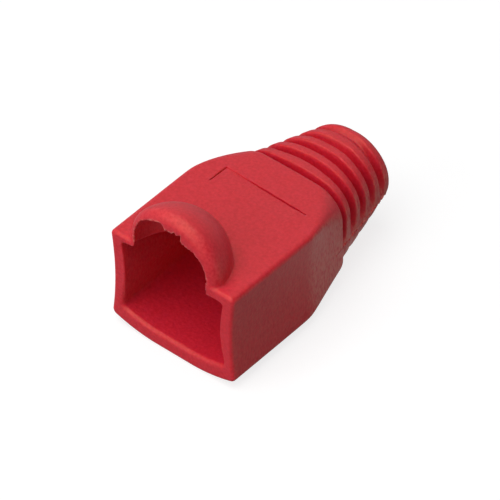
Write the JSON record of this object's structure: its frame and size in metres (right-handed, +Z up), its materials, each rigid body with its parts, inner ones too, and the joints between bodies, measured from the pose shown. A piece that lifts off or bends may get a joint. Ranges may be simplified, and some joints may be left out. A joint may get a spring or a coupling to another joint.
{
  "type": "strain relief boot for a modular network plug",
  "caption": "Soft one-piece strain relief boot: a boxy sleeve with a round latch hood slips over a modular network plug and a ringed conical tail guides the cable.",
  "frame": {"origin": "middle of the bounding box in plan, on the resting plane under the sleeve", "axes": "+X across the width, +Y along the cable from the plug mouth to the end of the tail, +Z up towards the latch hood"},
  "size_m": [0.0146, 0.026, 0.0168],
  "materials": {
    "red_pvc": "matt soft PVC with a fine moulded texture"
  },
  "bodies": {
    "root": {"boot": "red_pvc"}
  },
  "joints": []
}
